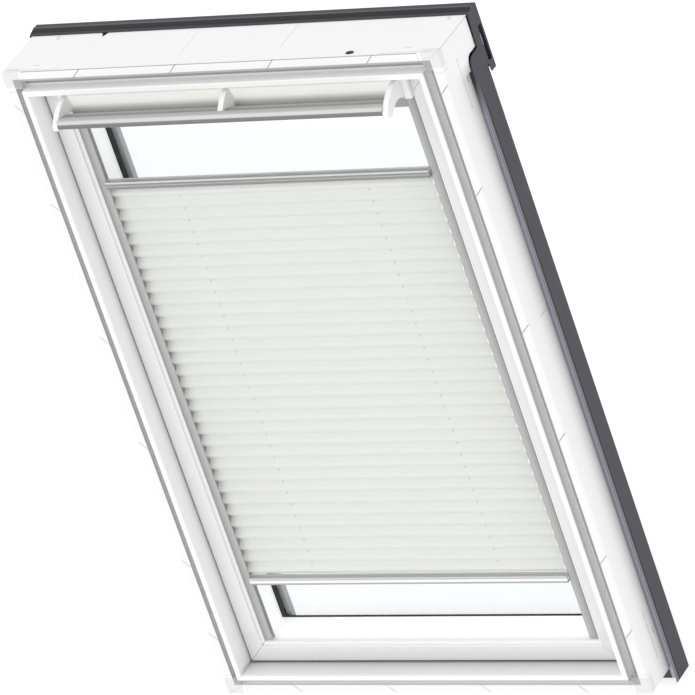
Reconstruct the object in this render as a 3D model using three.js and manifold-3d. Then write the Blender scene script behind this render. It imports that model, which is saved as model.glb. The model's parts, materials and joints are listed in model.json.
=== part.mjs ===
// Centre-pivot roof window with a pleated blind, in millimetres.
// X is the width, +Y points away from the room, +Z points up the window.
// The origin is the middle of the flat underside of the frame.
// Inside the file the pieces are drawn around the middle of the window, with y = 0
// on the flat room face of the frame; the group at the end moves them to the origin.

import * as THREE from 'three';
import { mergeVertices } from 'three/addons/utils/BufferGeometryUtils.js';
import Module from 'manifold-3d';

const wasm = await Module();
wasm.setup();

// Overall size
const windowWidth = 780;
const windowHeight = 1178;

// Clearances
const fitGap = 0.3;
const cutOverrun = 5;
const weldDistance = 0.0005;

// Frame section, seen as inset from the outer edge and depth from the room face
const collarWidth = 17;
const collarDepth = 72;
const deepCollarDepth = 109;
const grooveWidth = 14;
const grooveDepth = 12;
const slitWidth = 2;
const slitDepth = 10;
const rimProjection = 8.7;
const rimWidth = 10;
const rimRadius = 2;
const coveRun = 5.8;
const coveDepth = 30;
const coveBeyondFace = 2;
const coveHollowShare = 0.25;
const frameDepth = 104;
const neckWidth = 15.5;

// Roundings of the collar
const edgeRadius = 4;
const cornerRadius = 5;
const sideFlank = { run: 30, inward: 4 };
const deepFlank = { run: 7, inward: 3 };
const flankControlShare = 0.75;

// Corner blocks of the frame's collar
const cornerReach = 36;
const cornerFill = 31;

// Stepped top end of the side collars, as drops below the window's top
const stepCurveDrop = 77;
const stepFlatDrop = 53;
const stepCurveRun = 14;

// Slanted joints across the collar's room face, and seams across its outer faces
const jointWidth = 1.4;
const jointDepth = 2.5;
const sideJointShares = [0.873, 0.565, 0.144, -0.194, -0.582, -0.823];
const endJointShares = [-0.679, -0.231, 0.215, 0.664];
const seamWidth = 0.8;
const seamDepth = 1.5;
const seamStart = 37;
const endSeamShares = [-0.205, 0.249];
const sideSeamShare = 0.156;

// Slots in the outer faces, with a short pocket behind each, where mounting brackets hold
const slotLong = 90;
const slotWidth = 1.2;
const slotDepth = 3;
const pocketLong = 11;
const pocketWidth = 2;
const pocketBehind = 13;
const sideSlot = { place: 44.4, inset: 82 };
const endSlot = { place: 5, inset: 58 };

// Notch and ramps at the back edge of the top collar
const notchAcross = 16;
const notchReach = 13;
const notchSunk = 6;
const notchFromLeft = 136;
const rampLong = 17;
const rampDeep = 10;
const rampRise = 3;
const rampRoot = 2;
const rampSetback = 16;
const rampFromLeft = 55;
const rampFromRight = 25;

// Rubber plug in the top collar
const plugFromRight = 157;
const plugLong = 7;
const plugShort = 4.5;
const plugSetback = 11;
const plugSunk = 6;
const plugProud = 0.8;

// Seal between frame and sash
const sealFromBack = 18;
const sealWidth = 6;
const sealSunk = 4;
const sealProud = 1.2;

// Sheet metal covers, with drops below the window's top
const sheet = 1.2;
const coverStandOff = 0.3;
const coverHeight = 16.5;
const coverOverhang = 30.7;
const coverTopDrop = 73;
const coverFlange = 29.5;
const coverFlangeShort = 9.7;
const coverLipInset = 44.6;
const topCoverLap = 0.5;
const topCoverBeyond = 16.4;
const topCoverRidgeShare = 0.567;
const topCoverRidgeRise = 6.3;
const topCoverRoofRise = 5.2;
const capFrontTop = { ahead: 1.5, rise: 1.5 };
const capCorner = { ahead: 4.4, drop: 55.5 };
const capShelfDrop = 56.6;
const capThroatDrop = 74;
const capSeamDrop = 91.8;
const capFoot = { run: 2.9, drop: 108.2 };
const capEdgeRise = 4.5;
const capSlotFrontShare = 0.574;
const capSlotBackShare = 0.885;
const capSlotDrops = [90.8, 30];
const apronRise = 6;
const apronInset = 20;
const apronOuterInset = 3;
const apronToe = 80;

// Sash section, seen as inset from the sash's outer edge and depth from the room face
const sashGap = 3;
const sashFace = 22;
const sashDepth = 78;
const sashFaceWidth = 28.2;
const beadWidth = 2.2;
const beadRise = 0.8;
const beadStepDepth = 25.5;
const innerEdgeInset = 33;
const innerEdgeDepth = 27.8;
const bevelInset = 47.6;
const glassSeat = 76;
const rebateInset = 24;

// Glass unit
const gasketThickness = 2.4;
const gasketSideReach = 55.5;
const gasketEndReach = 49.6;
const paneThickness = 4;
const paneSpacing = 12;
const paneEdgeRoom = 2;
const spacerSideReach = 61.6;
const spacerEndReach = 29;

// Sash covers on the roof side
const sashCoverEdge = 0.6;
const sashCoverRise = 6;
const sashCoverSlope = 6;
const sashCoverSideReach = 50;
const sashCoverEndReach = 32;

// Pivot hinges
const pivotFromBack = 44;
const hingePlateLong = 90;
const hingePlateWide = 30;
const hingePlateThick = 4;
const pivotRadius = 7;
const pivotReach = 6.5;

// Lock in the top of the sash
const lockCaseWide = 60;
const lockCaseDeep = 25;
const lockCaseTall = 22;
const lockCaseWall = 3;
const latchWide = 24;
const latchDeep = 10;
const latchNose = 2.5;
const latchTravel = 8;
const strikeThick = 2;
const strikeWide = 60;
const strikeDeep = 18;

// Control bar, its arms and the flap. Their outlines are shares of the arm's reach and rise,
// counted from the hinge towards the room and upwards.
const barHingeDepth = 17.5;
const barHingeDrop = 31.2;
const barHingeEye = 3.6;
const barPinRadius = 2.2;
const armInset = 45.2;
const armWidth = 9;
const armReach = 61.5;
const armRise = 30.5;
const armTopBackShares = [-0.033, 1];
const armTopFrontShares = [0.328, 1];
const armCrownShares = [0.74, 0.787];
const armNoseShares = [1, 0.164];
const armChinShares = [1.049, -0.164];
const armUnderShares = [0.821, -0.213];
const armArchShares = [[0.61, 0.148], [0.317, 0.295]];
const armArchEndShares = [0.146, 0];
const barDeep = 13;
const barAboveShare = 0.459;
const barBelowShare = 0.033;
const barRounding = 4;
const webTopShares = [0.301, 1.08];
const webCrownShares = [0.51, 0.95];
const flapTopShares = [0.203, 1.049];
const flapBellyShares = [0.057, 0.393];
const flapValleyShares = [0.171, -0.049];
const lipCrownShares = [0.48, 0.344];
const lipEndAboveShare = 0.4;
const flapThickness = 2.4;
const lugWidth = 11.9;
const lugAbove = 30.9;
const lugBelow = 5.5;
const lugAhead = 4;

// Blind, with insets from the sash's outer edges
const railRoomFace = 28.4;
const railInnerInset = 49.2;
const railOuterInset = 33.7;
const railBackInset = 36.6;
const railEndInset = 36.2;
const headRailTall = 23.3;
const railDepth = 9;
const railWall = 1.2;
const blindBarFront = 21;
const blindBarDepth = 13;
const blindBarTall = 13.5;
const blindRibDepth = 0.9;
const blindRibCount = 3;
const blindRibShare = 0.62;
const topBarDrop = 182.2;
const bottomBarRise = 160.7;
const gliderTall = 10;
const fabricFront = 23;
const fabricBack = 35;
const fabricThickness = 0.8;
const fabricEdgeGap = 0.6;
const pleatCount = 33;

// Smoothness of curved faces
const arcSteps = 10;
const roundSides = 24;

// Worked-out places
const mitreShift = fitGap / Math.SQRT2;
const halfWidth = windowWidth / 2;
const halfHeight = windowHeight / 2;
const rimInset = collarWidth + grooveWidth;
const frameInset = rimInset + rimWidth + coveRun;
const coveStartDepth = sashFace + coveBeyondFace - coveDepth;
const sealSetback = frameDepth - sealFromBack;
const pivotDepth = frameDepth - pivotFromBack;
const frameRing = { halfWidth, halfHeight };
const openingHalfWidth = halfWidth - frameInset;
const openingHalfHeight = halfHeight - frameInset;
const sashRing = { halfWidth: openingHalfWidth - sashGap, halfHeight: openingHalfHeight - sashGap };
const sashBack = sashFace + sashDepth;
const flatMiddle = (edgeRadius + collarDepth) / 2;
const stepFlat = halfHeight - stepFlatDrop;
const coverRoof = frameDepth + coverHeight;
const topCoverFront = deepCollarDepth - topCoverLap;
const topCoverBack = coverRoof + topCoverBeyond;
const topCoverRidge = topCoverFront + (topCoverBack - topCoverFront) * topCoverRidgeShare;
const capRoof = topCoverBack + fitGap + sheet;
const capFront = deepCollarDepth - capCorner.ahead;
const barHingeHeight = sashRing.halfHeight - barHingeDrop;
const armInnerEnd = sashRing.halfWidth - armInset - armWidth / 2;
const barBack = barHingeDepth - armReach + barDeep;
const barTop = barHingeHeight + armRise * barAboveShare;
const railInnerEdge = sashRing.halfWidth - railInnerInset;
const railOuterEdge = sashRing.halfWidth - railOuterInset;
const railBackEdge = sashRing.halfWidth - railBackInset;
const railHalfLength = sashRing.halfHeight - railEndInset;
const topBarUnderside = sashRing.halfHeight - topBarDrop;
const bottomBarTop = bottomBarRise - sashRing.halfHeight;
const QUARTER_TURN = Math.PI / 2;
const SIDES = {
  left: { turns: 0, upright: true },
  top: { turns: 1, upright: false },
  right: { turns: 2, upright: true },
  bottom: { turns: 3, upright: false },
};
const HANDS = { left: -1, right: 1 };

// Materials seen on the window
const white = { color: 0xf7f7f7, roughness: 0.45, metalness: 0 };
const darkMetal = { color: 0x56545c, roughness: 0.5, metalness: 0.4 };
const greyAluminium = { color: 0xb2b2b4, roughness: 0.4, metalness: 0.7 };
const blackRubber = { color: 0x1a1a1c, roughness: 0.8, metalness: 0 };
const steel = { color: 0xa8a8aa, roughness: 0.35, metalness: 0.9 };
const clearGlass = { color: 0xeaf3f8, roughness: 0.05, metalness: 0, transparent: true, opacity: 0.35 };
const cream = { color: 0xe6e6da, roughness: 0.6, metalness: 0 };
const pleatedCloth = { color: 0xe2e4dc, roughness: 0.9, metalness: 0 };

const pieces = new THREE.Group();

function addPiece(name, look, geometry) {
  geometry.computeVertexNormals();
  const mesh = new THREE.Mesh(geometry, new THREE.MeshStandardMaterial(look));
  mesh.name = name;
  pieces.add(mesh);
}

// Joins and cuts

function solidOf(geometry) {
  const bare = geometry.clone();
  bare.deleteAttribute('normal');
  bare.deleteAttribute('uv');
  const welded = mergeVertices(bare, weldDistance);
  return new wasm.Manifold(new wasm.Mesh({
    numProp: 3,
    vertProperties: new Float32Array(welded.attributes.position.array),
    triVerts: new Uint32Array(welded.index.array),
  }));
}

function geometryOf(solid) {
  const mesh = solid.getMesh();
  const geometry = new THREE.BufferGeometry();
  geometry.setAttribute('position', new THREE.BufferAttribute(mesh.vertProperties, 3));
  geometry.setIndex(new THREE.BufferAttribute(mesh.triVerts, 1));
  return geometry;
}

function cutFrom(geometry, tools) {
  let solid = solidOf(geometry);
  for (const tool of tools) solid = solid.subtract(solidOf(tool));
  return geometryOf(solid);
}

function joined(geometries) {
  let solid = solidOf(geometries[0]);
  for (const other of geometries.slice(1)) solid = solid.add(solidOf(other));
  return geometryOf(solid);
}

function commonTo(first, second) {
  return geometryOf(solidOf(first).intersect(solidOf(second)));
}

// Basic forms

function outline(points) {
  return new THREE.Shape(points.map(([x, y]) => new THREE.Vector2(x, y)));
}

function extruded(shape, depth) {
  return new THREE.ExtrudeGeometry(shape, { depth, bevelEnabled: false, curveSegments: arcSteps });
}

// A section drawn in (x, y) and drawn out along Z
function alongZ(section, zFrom, zTo) {
  return extruded(section, zTo - zFrom).translate(0, 0, zFrom);
}

// A section drawn in (y, z) and drawn out along X
function alongX(section, xFrom, xTo) {
  const toX = new THREE.Matrix4().makeBasis(
    new THREE.Vector3(0, 1, 0),
    new THREE.Vector3(0, 0, 1),
    new THREE.Vector3(1, 0, 0),
  );
  return extruded(section, xTo - xFrom).applyMatrix4(toX).translate(xFrom, 0, 0);
}

// A plate drawn in (x, z) between two depths
function alongY(section, yFrom, yTo) {
  return extruded(section, yTo - yFrom).rotateX(QUARTER_TURN).translate(0, yTo, 0);
}

function box(x, y, z) {
  const geometry = new THREE.BoxGeometry(x[1] - x[0], y[1] - y[0], z[1] - z[0]);
  return geometry.translate((x[0] + x[1]) / 2, (y[0] + y[1]) / 2, (z[0] + z[1]) / 2);
}

function roundBar(radius, x, y, z) {
  const geometry = new THREE.CylinderGeometry(radius, radius, x[1] - x[0], roundSides);
  return geometry.rotateZ(QUARTER_TURN).translate((x[0] + x[1]) / 2, y, z);
}

// A span of x on the left or right side, low end first
function span(hand, inner, outer) {
  return hand > 0 ? [inner, outer] : [-outer, -inner];
}

function centred(middle, length) {
  return [middle - length / 2, middle + length / 2];
}

// One side of a mitred ring. The section is drawn in (inset, depth); the ends are cut at
// 45 degrees by drawing each end point back by its inset.
function ringMember(section, ring, side) {
  const { turns, upright } = SIDES[side];
  const reach = upright ? ring.halfWidth : ring.halfHeight;
  const halfLength = upright ? ring.halfHeight : ring.halfWidth;
  const geometry = extruded(section, 2 * halfLength).translate(0, 0, -halfLength);
  const position = geometry.attributes.position;
  for (let i = 0; i < position.count; i += 1) {
    const inset = position.getX(i);
    const end = Math.sign(position.getZ(i));
    position.setXYZ(i, inset - reach, position.getY(i), end * (halfLength - inset - mitreShift));
  }
  return geometry.rotateY(turns * QUARTER_TURN);
}

// The outline of a bent sheet, from the path of its outer face; the sheet lies to the left of it
function sheetOutline(path, thickness) {
  const points = path.map(([x, y]) => new THREE.Vector2(x, y));
  const normals = [];
  for (let i = 0; i + 1 < points.length; i += 1) {
    const along = points[i + 1].clone().sub(points[i]).normalize();
    normals.push(new THREE.Vector2(-along.y, along.x));
  }
  const inner = points.map((point, i) => {
    const before = normals[Math.max(i - 1, 0)];
    const after = normals[Math.min(i, normals.length - 1)];
    const mean = before.clone().add(after).normalize();
    return point.clone().addScaledVector(mean, thickness / mean.dot(after));
  });
  return new THREE.Shape([...points, ...inner.reverse()]);
}

// Frame

function frameSection(withFullShoulder) {
  const shoulder = collarWidth + fitGap;
  const neck = frameInset - neckWidth;
  const rimEnd = rimInset + rimWidth;
  const section = new THREE.Shape();
  section.moveTo(shoulder, grooveDepth + slitDepth);
  section.lineTo(shoulder + slitWidth, grooveDepth + slitDepth);
  section.lineTo(shoulder + slitWidth, grooveDepth);
  section.lineTo(rimInset, grooveDepth);
  section.lineTo(rimInset, rimRadius - rimProjection);
  section.quadraticCurveTo(rimInset, -rimProjection, rimInset + rimRadius, -rimProjection);
  section.lineTo(rimEnd - rimRadius, -rimProjection);
  section.quadraticCurveTo(rimEnd, -rimProjection, rimEnd, coveStartDepth);
  section.quadraticCurveTo(
    rimEnd + coveRun * coveHollowShare,
    coveStartDepth + coveDepth / 2,
    frameInset,
    coveStartDepth + coveDepth,
  );
  section.lineTo(frameInset, sealSetback);
  section.lineTo(frameInset - sealSunk, sealSetback);
  section.lineTo(frameInset - sealSunk, sealSetback + sealWidth);
  section.lineTo(frameInset, sealSetback + sealWidth);
  section.lineTo(frameInset, frameDepth);
  if (withFullShoulder) {
    section.lineTo(shoulder, frameDepth);
  } else {
    section.lineTo(neck, frameDepth);
    section.lineTo(neck, collarDepth + fitGap);
    section.lineTo(shoulder, collarDepth + fitGap);
  }
  section.closePath();
  return section;
}

function hingePocket(hand, inner, outer) {
  return box(
    span(hand, inner, outer),
    centred(pivotDepth, hingePlateWide + 2 * fitGap),
    centred(0, hingePlateLong + 2 * fitGap),
  );
}

function strikePocket() {
  return box(
    centred(0, strikeWide + 2 * fitGap),
    centred(pivotDepth, strikeDeep + 2 * fitGap),
    [openingHalfHeight - cutOverrun, openingHalfHeight + strikeThick + fitGap],
  );
}

function addFrame() {
  for (const side of Object.keys(SIDES)) {
    const member = ringMember(frameSection(side === 'top'), frameRing, side);
    if (side === 'top') {
      addPiece('frame_top', white, cutFrom(member, [strikePocket()]));
    } else if (side === 'bottom') {
      addPiece('frame_bottom', white, member);
    } else {
      const floor = openingHalfWidth + hingePlateThick + fitGap;
      const pocket = hingePocket(HANDS[side], openingHalfWidth - cutOverrun, floor);
      addPiece(`frame_${side}`, white, cutFrom(member, [pocket]));
    }
  }
}

// Collar around the frame, with its corner blocks and plug

// The collar's section. A flank is the stretch that curves inward before the back edge.
function collarSection(depth, flank) {
  const section = new THREE.Shape();
  section.moveTo(collarWidth, 0);
  section.lineTo(collarWidth, depth);
  if (flank) {
    section.lineTo(flank.inward, depth);
    section.quadraticCurveTo(0, depth - flank.run * (1 - flankControlShare), 0, depth - flank.run);
  } else {
    section.lineTo(0, depth);
  }
  section.lineTo(0, edgeRadius);
  section.quadraticCurveTo(0, 0, edgeRadius, 0);
  section.closePath();
  return section;
}

// The corner block's plan, as distances from the two outer edges
function cornerPlan(xHand, zHand) {
  const points = [
    [0, 0],
    [cornerReach, 0],
    [cornerReach, collarWidth],
    [cornerFill, collarWidth],
    [cornerFill, cornerFill],
    [collarWidth, cornerFill],
    [collarWidth, cornerReach],
    [0, cornerReach],
  ];
  return outline(points.map(([a, b]) => [xHand * (halfWidth - a), zHand * (halfHeight - b)]));
}

function cornerNotches() {
  const notches = [];
  for (const xHand of [-1, 1]) {
    for (const zHand of [-1, 1]) {
      const x = span(xHand, halfWidth - cornerReach - fitGap, halfWidth + cutOverrun);
      const z = span(zHand, halfHeight - cornerReach - fitGap, halfHeight + cutOverrun);
      notches.push(box(x, [-cutOverrun, grooveDepth], z));
    }
  }
  return notches;
}

// The whole collar's form seen from the room, with rounded corners
function roundedForm() {
  const plan = new THREE.Shape();
  plan.moveTo(cornerRadius - halfWidth, -halfHeight);
  plan.lineTo(halfWidth - cornerRadius, -halfHeight);
  plan.quadraticCurveTo(halfWidth, -halfHeight, halfWidth, cornerRadius - halfHeight);
  plan.lineTo(halfWidth, halfHeight - cornerRadius);
  plan.quadraticCurveTo(halfWidth, halfHeight, halfWidth - cornerRadius, halfHeight);
  plan.lineTo(cornerRadius - halfWidth, halfHeight);
  plan.quadraticCurveTo(-halfWidth, halfHeight, -halfWidth, halfHeight - cornerRadius);
  plan.lineTo(-halfWidth, cornerRadius - halfHeight);
  plan.quadraticCurveTo(-halfWidth, -halfHeight, cornerRadius - halfWidth, -halfHeight);
  return alongY(plan, -cutOverrun, deepCollarDepth + cutOverrun);
}

// The part of the window's height where the side collars are as deep as the top one
function deepZone() {
  const plan = new THREE.Shape();
  plan.moveTo(-cutOverrun, halfHeight - stepCurveDrop);
  plan.lineTo(collarDepth, halfHeight - stepCurveDrop);
  plan.quadraticCurveTo(collarDepth, stepFlat, collarDepth + stepCurveRun, stepFlat);
  plan.lineTo(deepCollarDepth + cutOverrun, stepFlat);
  plan.lineTo(deepCollarDepth + cutOverrun, halfHeight + cutOverrun);
  plan.lineTo(-cutOverrun, halfHeight + cutOverrun);
  return alongX(plan, -halfWidth - cutOverrun, halfWidth + cutOverrun);
}

// Slanted joints of one side. They are drawn along an edge at reach, with across as the
// direction out of the window and along as the direction of the side.
function slantedJoints(side) {
  const { turns, upright } = SIDES[side];
  const hand = turns === 0 || turns === 3 ? -1 : 1;
  const reach = upright ? halfWidth : halfHeight;
  const halfLength = upright ? halfHeight : halfWidth;
  return (upright ? sideJointShares : endJointShares).map((share) => {
    const inner = reach - collarWidth - cutOverrun;
    const outer = reach + cutOverrun;
    const start = halfLength * share - cutOverrun;
    const end = start + outer - inner;
    const points = [
      [inner, start],
      [outer, end],
      [outer, end + jointWidth],
      [inner, start + jointWidth],
    ].map(([across, along]) => (upright ? [hand * across, along] : [along, hand * across]));
    return alongY(outline(points), -cutOverrun, jointDepth);
  });
}

// A cut into one outer face: where it lies along that side, and between which depths
function faceCut(side, along, depths, sunk) {
  const { turns, upright } = SIDES[side];
  const hand = turns === 0 || turns === 3 ? -1 : 1;
  const reach = upright ? halfWidth : halfHeight;
  const across = span(hand, reach - sunk, reach + cutOverrun);
  return upright ? box(across, depths, along) : box(along, depths, across);
}

function bracketSlots(side) {
  const { upright } = SIDES[side];
  const slot = upright ? sideSlot : endSlot;
  const middle = (upright ? halfHeight : halfWidth) - slot.inset;
  return [-middle, middle].flatMap((along) => [
    faceCut(side, centred(along, slotLong), centred(slot.place, slotWidth), slotDepth),
    faceCut(side, centred(along, pocketLong), centred(slot.place + pocketBehind, pocketWidth), slotDepth),
  ]);
}

function faceSeams(side) {
  if (side === 'bottom') return [];
  const ends = [seamStart, side === 'top' ? deepCollarDepth - cutOverrun : collarDepth - cutOverrun];
  const places = side === 'top'
    ? endSeamShares.map((share) => share * halfWidth)
    : [sideSeamShare * halfHeight];
  return places.map((along) => faceCut(side, centred(along, seamWidth), ends, seamDepth));
}

function topNotch() {
  const middle = notchFromLeft - halfWidth;
  const back = deepCollarDepth + cutOverrun;
  const tip = deepCollarDepth - notchReach;
  const plan = outline([[middle - notchAcross / 2, back], [middle, tip], [middle + notchAcross / 2, back]]);
  return alongZ(plan, halfHeight - notchSunk, halfHeight + cutOverrun);
}

function topRamps() {
  return [rampFromLeft - halfWidth, halfWidth - rampFromRight].map((end) => {
    const low = halfHeight - rampRoot;
    const front = deepCollarDepth - rampSetback;
    const plan = outline([
      [end - rampLong, low],
      [end, low],
      [end, halfHeight + rampRise],
      [end - rampLong, halfHeight],
    ]);
    return alongY(plan, front, front + rampDeep);
  });
}

function plugForm(grow, zFrom, zTo) {
  const plan = new THREE.Shape();
  const across = halfWidth - plugFromRight;
  plan.absellipse(across, plugSetback, plugLong + grow, plugShort + grow, 0, 2 * Math.PI);
  return alongZ(plan, zFrom, zTo);
}

function addCollar() {
  const notches = cornerNotches();
  const rounded = roundedForm();
  const slots = Object.keys(SIDES).flatMap(bracketSlots);
  for (const side of Object.keys(SIDES)) {
    const tools = [...notches, ...slots, ...slantedJoints(side), ...faceSeams(side)];
    let member;
    if (side === 'top') {
      member = joined([ringMember(collarSection(deepCollarDepth), frameRing, side), ...topRamps()]);
      tools.push(plugForm(fitGap, halfHeight - plugSunk - fitGap, halfHeight + cutOverrun), topNotch());
    } else if (side === 'bottom') {
      member = ringMember(collarSection(collarDepth), frameRing, side);
    } else {
      const deep = ringMember(collarSection(deepCollarDepth, deepFlank), frameRing, side);
      const plain = ringMember(collarSection(collarDepth, sideFlank), frameRing, side);
      member = joined([plain, commonTo(deep, deepZone())]);
    }
    const whole = side === 'top' ? member : commonTo(member, rounded);
    addPiece(`collar_${side}`, white, cutFrom(whole, tools));
  }
  for (const [zName, zHand] of [['top', 1], ['bottom', -1]]) {
    for (const [xName, xHand] of Object.entries(HANDS)) {
      const block = commonTo(alongY(cornerPlan(xHand, zHand), 0, grooveDepth - fitGap), rounded);
      addPiece(`collar_corner_${zName}_${xName}`, white, cutFrom(block, slots));
    }
  }
  addPiece('cable_plug', blackRubber, plugForm(0, halfHeight - plugSunk, halfHeight + plugProud));
}

function addSeals() {
  const section = outline([
    [frameInset - sealSunk + fitGap, sealSetback + fitGap],
    [frameInset + sealProud, sealSetback + fitGap],
    [frameInset + sealProud, sealSetback + sealWidth - fitGap],
    [frameInset - sealSunk + fitGap, sealSetback + sealWidth - fitGap],
  ]);
  for (const side of Object.keys(SIDES)) {
    addPiece(`seal_${side}`, blackRubber, ringMember(section, frameRing, side));
  }
}

// Covers on the roof side of the frame

function addSideCovers() {
  const flangeDepth = collarDepth + 2 * fitGap;
  for (const [side, hand] of Object.entries(HANDS)) {
    const section = sheetOutline([
      [coverFlange, flangeDepth],
      [-coverStandOff - sheet, flangeDepth],
      [-coverStandOff - sheet, coverRoof],
      [coverLipInset, coverRoof],
      [coverLipInset, frameDepth + fitGap],
    ].map(([inset, depth]) => [hand * (halfWidth - inset), depth]), hand * sheet);
    const foot = -halfHeight - coverOverhang;
    const cover = alongZ(section, foot, halfHeight - coverTopDrop);
    const flangeFoot = box(
      span(hand, halfWidth - coverFlange - cutOverrun, halfWidth + coverStandOff),
      [flangeDepth - cutOverrun, flangeDepth + cutOverrun],
      [foot - cutOverrun, foot + coverFlangeShort],
    );
    addPiece(`cover_${side}`, darkMetal, cutFrom(cover, [flangeFoot]));
  }
}

function capPlan() {
  const front = collarDepth + 2 * fitGap;
  const shelf = halfHeight - capShelfDrop;
  const seam = halfHeight - capSeamDrop;
  const foot = halfHeight - capFoot.drop;
  const plan = new THREE.Shape();
  plan.moveTo(deepCollarDepth - capFrontTop.ahead, halfHeight + capFrontTop.rise);
  plan.lineTo(capFront, halfHeight - capCorner.drop);
  plan.lineTo(front + stepCurveRun, shelf);
  plan.quadraticCurveTo(front, shelf, front, halfHeight - capThroatDrop);
  plan.lineTo(front, seam);
  plan.lineTo(coverRoof, seam - sheet);
  plan.lineTo(coverRoof + capFoot.run, foot);
  plan.lineTo(capRoof, foot);
  plan.lineTo(capRoof, halfHeight + capEdgeRise);
  plan.lineTo(topCoverBack, halfHeight + topCoverRoofRise);
  plan.lineTo(topCoverRidge, halfHeight + topCoverRidgeRise);
  plan.closePath();
  return plan;
}

function addCoverCorners() {
  const inner = halfWidth + coverStandOff + sheet + fitGap;
  for (const [side, hand] of Object.entries(HANDS)) {
    const plate = alongX(capPlan(), ...span(hand, inner, inner + sheet));
    const slot = box(
      span(hand, inner - cutOverrun, inner + sheet + cutOverrun),
      [capSlotFrontShare, capSlotBackShare].map((share) => capFront + (capRoof - capFront) * share),
      capSlotDrops.map((drop) => halfHeight - drop),
    );
    const roof = box(
      span(hand, halfWidth - coverLipInset, inner + sheet),
      [capRoof - sheet, capRoof],
      [halfHeight - capFoot.drop, halfHeight],
    );
    addPiece(`cover_corner_${side}`, darkMetal, joined([cutFrom(plate, [slot]), roof]));
  }
}

function addEndCovers() {
  const topHalfLength = halfWidth + coverStandOff + sheet;
  const topSection = sheetOutline([
    [topCoverFront, halfHeight + fitGap + sheet],
    [topCoverRidge, halfHeight + topCoverRidgeRise],
    [topCoverBack, halfHeight + topCoverRoofRise],
    [topCoverBack, openingHalfHeight + sashGap],
  ], -sheet);
  addPiece('cover_top', darkMetal, alongX(topSection, -topHalfLength, topHalfLength));
  const apronHalfLength = halfWidth - coverLipInset - fitGap;
  const apronSection = sheetOutline([
    [frameDepth + fitGap, -halfHeight + coverLipInset],
    [frameDepth + apronRise, -halfHeight + coverLipInset],
    [frameDepth + apronRise, -halfHeight + apronInset],
    [apronToe, -halfHeight + apronOuterInset],
  ], -sheet);
  addPiece('cover_bottom', darkMetal, alongX(apronSection, -apronHalfLength, apronHalfLength));
}

// Sash

function sashSection() {
  return outline([
    [0, sashFace],
    [sashFaceWidth - beadWidth, sashFace],
    [sashFaceWidth - beadWidth, sashFace - beadRise],
    [sashFaceWidth, sashFace - beadRise],
    [sashFaceWidth, beadStepDepth],
    [innerEdgeInset, innerEdgeDepth],
    [bevelInset, glassSeat],
    [rebateInset, glassSeat],
    [rebateInset, sashBack],
    [0, sashBack],
  ]);
}

function lockPocket() {
  const top = sashRing.halfHeight;
  return box(
    centred(0, lockCaseWide + 2 * fitGap),
    centred(pivotDepth, lockCaseDeep + 2 * fitGap),
    [top - lockCaseTall - fitGap, top + cutOverrun],
  );
}

function addSash() {
  for (const side of Object.keys(SIDES)) {
    let member = ringMember(sashSection(), sashRing, side);
    if (side in HANDS) {
      const floor = sashRing.halfWidth - hingePlateThick - fitGap;
      member = cutFrom(member, [hingePocket(HANDS[side], floor, sashRing.halfWidth + cutOverrun)]);
    } else if (side === 'top') {
      member = cutFrom(member, [lockPocket()]);
    }
    addPiece(`sash_${side}`, white, member);
  }
  for (const [side, { upright }] of Object.entries(SIDES)) {
    const reach = upright ? sashCoverSideReach : sashCoverEndReach;
    const cover = sheetOutline([
      [sashCoverEdge, sashBack + fitGap],
      [sashCoverEdge, sashBack + sashCoverRise],
      [reach - sashCoverSlope, sashBack + sashCoverRise],
      [reach, glassBack() + fitGap + sheet],
    ], -sheet);
    addPiece(`sash_cover_${side}`, darkMetal, ringMember(cover, sashRing, side));
  }
}

// Glass unit

function glassFront() {
  return glassSeat + gasketThickness + 2 * fitGap;
}

function glassBack() {
  return glassFront() + 2 * paneThickness + paneSpacing;
}

function rectangle(halfX, halfZ) {
  return [[-halfX, -halfZ], [halfX, -halfZ], [halfX, halfZ], [-halfX, halfZ]];
}

function ringPlate(outer, inner, yFrom, yTo) {
  const plan = outline(rectangle(...outer));
  plan.holes.push(new THREE.Path(rectangle(...inner).map(([x, z]) => new THREE.Vector2(x, z))));
  return alongY(plan, yFrom, yTo);
}

function addGlass() {
  const edge = rebateInset + paneEdgeRoom;
  const paneHalf = [sashRing.halfWidth - edge, sashRing.halfHeight - edge];
  const front = glassFront();
  const back = glassBack();
  const gasketHole = [sashRing.halfWidth - gasketSideReach, sashRing.halfHeight - gasketEndReach];
  const spacerHole = [sashRing.halfWidth - spacerSideReach, sashRing.halfHeight - spacerEndReach];
  const pane = outline(rectangle(...paneHalf));
  const spacerDepth = [front + paneThickness + fitGap, back - paneThickness - fitGap];
  const gasketDepth = [glassSeat + fitGap, front - fitGap];
  addPiece('glass_gasket', blackRubber, ringPlate(paneHalf, gasketHole, ...gasketDepth));
  addPiece('glass_inner', clearGlass, alongY(pane, front, front + paneThickness));
  addPiece('glass_spacer', greyAluminium, ringPlate(paneHalf, spacerHole, ...spacerDepth));
  addPiece('glass_outer', clearGlass, alongY(pane, back - paneThickness, back));
}

// Pivot hinges: a plate with a round pin on the frame, a plate with a bore on the sash

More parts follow.
